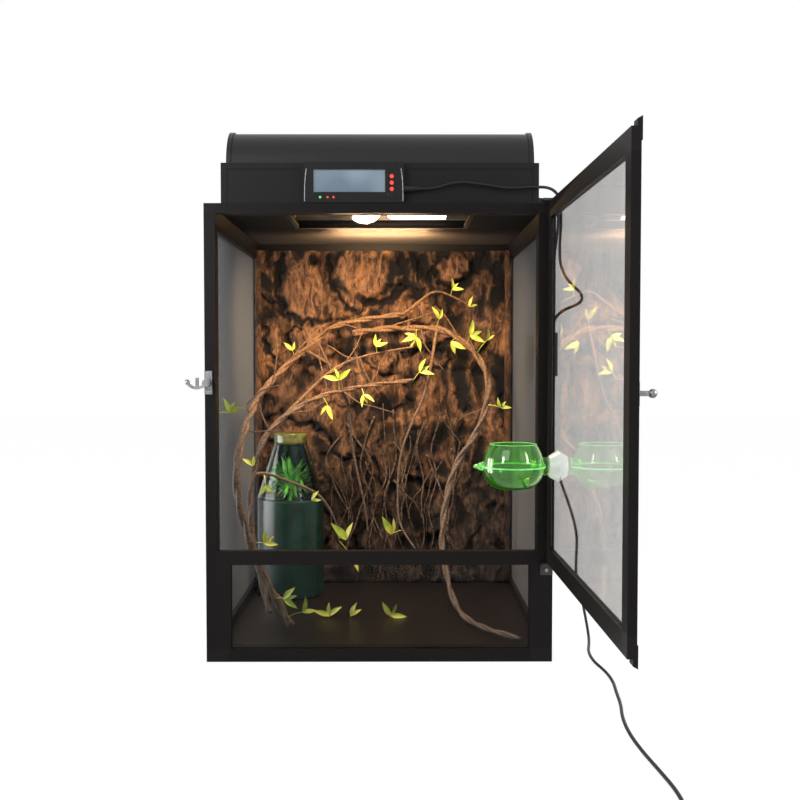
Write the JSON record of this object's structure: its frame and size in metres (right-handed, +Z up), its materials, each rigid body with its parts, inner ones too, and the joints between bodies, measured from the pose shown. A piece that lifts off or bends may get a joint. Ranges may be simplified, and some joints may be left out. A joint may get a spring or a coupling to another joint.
{
  "type": "chameleon cage",
  "caption": "Black-framed screen cage with an open glass door, lamp hood and controller, bark, vines, drip tank and a feeding bowl.",
  "frame": {"origin": "centre of the base board's underside, on the surface that the cage stands on", "axes": "+Z up, +X to the right of someone facing the door, +Y from the door to the back"},
  "size_m": [0.5427, 1.0148, 0.714],
  "materials": {
    "frame": "matte",
    "corner": "matte",
    "screen": "matte",
    "pane": "gloss",
    "board": "matte",
    "steel": "satin",
    "hood": "satin",
    "reflector": "gloss",
    "holder": "satin",
    "basking_lamp": "gloss",
    "uvb_lamp": "gloss",
    "case": "satin",
    "display": "gloss",
    "button": "satin",
    "light": "gloss",
    "circuit": "satin",
    "lead": "satin",
    "bark": "matte",
    "vine": "matte",
    "leaf": "satin",
    "tank": "gloss",
    "clear": "gloss",
    "bowl": "gloss",
    "cup": "gloss"
  },
  "bodies": {
    "cage": {"front_posts": "frame", "back_posts": "frame", "front_bottom_rail": "frame", "back_bottom_rail": "frame", "side_bottom_rails": "frame", "front_mid_rail": "frame", "front_top_rail": "frame", "back_top_rail": "frame", "side_top_rails": "frame", "window_stiles": "frame", "bottom_corners": "corner", "top_corners": "corner", "side_screens": "screen", "back_screen": "screen", "top_screen": "screen", "window_glass": "pane", "base_board": "board", "hinge_brackets": "steel", "fixing_screws": "steel", "latch_plate": "steel", "plug_pins": "steel", "hood_housing": "hood", "hood_dome": "hood", "hood_end_caps": "hood", "hood_reflector": "reflector", "lamp_holders": "holder", "basking_bulb": "basking_lamp", "uvb_lamp": "uvb_lamp", "controller_case": "case", "controller_screen": "display", "indicator_lights": "light", "controller_board": "circuit", "lead_glands": "lead", "controller_lead": "lead", "hood_lead": "lead", "mains_lead": "lead", "mains_coil": "lead", "mains_plug": "lead", "power_adapter": "lead", "bark_background": "bark", "main_vine": "vine", "second_vine": "vine", "right_vine": "vine", "leaf_sprigs": "leaf", "drip_plant": "leaf", "drip_tank": "tank", "drip_cap": "tank", "drip_cone": "clear"},
    "door": {"door_stiles": "frame", "door_rails": "frame", "door_corners": "corner", "door_glass": "pane", "door_tabs": "corner", "door_knob": "steel", "feeding_bowl": "bowl", "suction_cup": "cup"},
    "latch": {"latch_lever": "steel"},
    "upper_button": {"upper_button": "button"},
    "middle_button": {"middle_button": "button"},
    "lower_button": {"lower_button": "button"}
  },
  "joints": [
    {"name": "door_hinge", "type": "hinge", "parent": "cage", "child": "door", "pos_m": [0.221, -0.2315, 0.363], "axis": [0, 0, 1], "range_deg": [-91, 88]},
    {"name": "latch_swing", "type": "hinge", "parent": "cage", "child": "latch", "pos_m": [-0.22, -0.2425, 0.364], "axis": [0, 1, 0], "range_deg": [0, 180]},
    {"name": "upper_button_press", "type": "slide", "parent": "cage", "child": "upper_button", "axis": [0, 1, 0], "range_m": [0, 0.001], "stiffness_N_per_m": 300},
    {"name": "middle_button_press", "type": "slide", "parent": "cage", "child": "middle_button", "axis": [0, 1, 0], "range_m": [0, 0.001], "stiffness_N_per_m": 300},
    {"name": "lower_button_press", "type": "slide", "parent": "cage", "child": "lower_button", "axis": [0, 1, 0], "range_m": [0, 0.001], "stiffness_N_per_m": 300}
  ]
}
